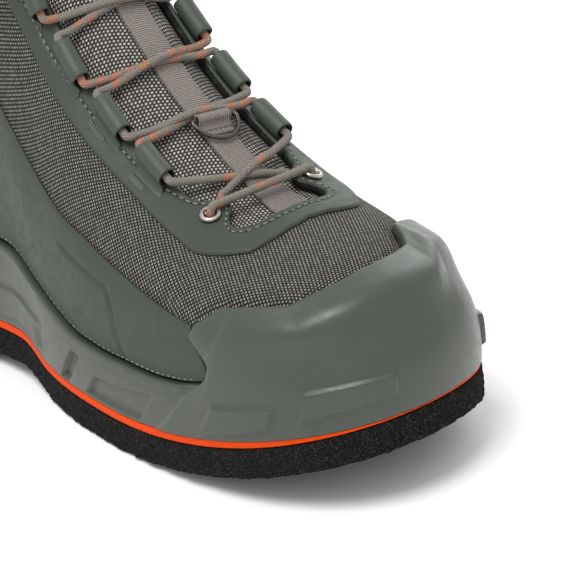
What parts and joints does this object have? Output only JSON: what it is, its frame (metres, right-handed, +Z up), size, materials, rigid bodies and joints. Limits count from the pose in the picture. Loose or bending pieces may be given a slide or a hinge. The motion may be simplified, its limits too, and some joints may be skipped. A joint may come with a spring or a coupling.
{
  "type": "wading boot",
  "caption": "Right wading boot with felt outsole, moulded rand with toe cap, hollow mesh upper, padded tongue and rolled lace loops.",
  "frame": {"origin": "on the tread under the heel, at the middle of the flat heel spot, on the floor plane", "axes": "+Y from heel to toe, +X to the boot's lateral (outer) side, +Z up out of the floor"},
  "size_m": [0.1163, 0.3137, 0.2138],
  "materials": {
    "felt": "dense pressed felt, matt",
    "stripe": "smooth rubber foam, satin",
    "rand": "moulded rubber, fine matt grain",
    "mesh_cloth": "coarse two-tone woven mesh",
    "insole_cloth": "knitted cloth over foam",
    "tongue_mesh": "open mesh over foam",
    "overlay": "coated microfibre, fine matt grain",
    "webbing": "woven webbing",
    "ring_steel": "dull steel wire",
    "eyelet_metal": "satin metal",
    "lace": "round braided cord"
  },
  "bodies": {
    "root": {"outsole_felt": "felt", "midsole_stripe": "stripe", "midsole_rand": "rand", "upper": "mesh_cloth", "insole": "insole_cloth", "tongue": "tongue_mesh", "eyestay": "overlay", "quarter_panel": "overlay", "tongue_webbing": "webbing", "ring_tab": "webbing", "keeper_ring": "ring_steel", "lace_loop_lateral_1": "overlay", "lace_loop_lateral_2": "overlay", "lace_loop_lateral_3": "overlay", "lace_loop_lateral_4": "overlay", "lace_loop_medial_1": "overlay", "lace_loop_medial_2": "overlay", "lace_loop_medial_3": "overlay", "lace_loop_medial_4": "overlay", "eyelet_low_lateral": "eyelet_metal", "eyelet_low_medial": "eyelet_metal", "eyelet_top_lateral": "eyelet_metal", "eyelet_top_medial": "eyelet_metal", "lace_bar": "lace", "lace_cross_1": "lace", "lace_cross_2": "lace", "lace_cross_3": "lace", "lace_cross_4": "lace", "lace_cross_5": "lace"}
  },
  "joints": []
}
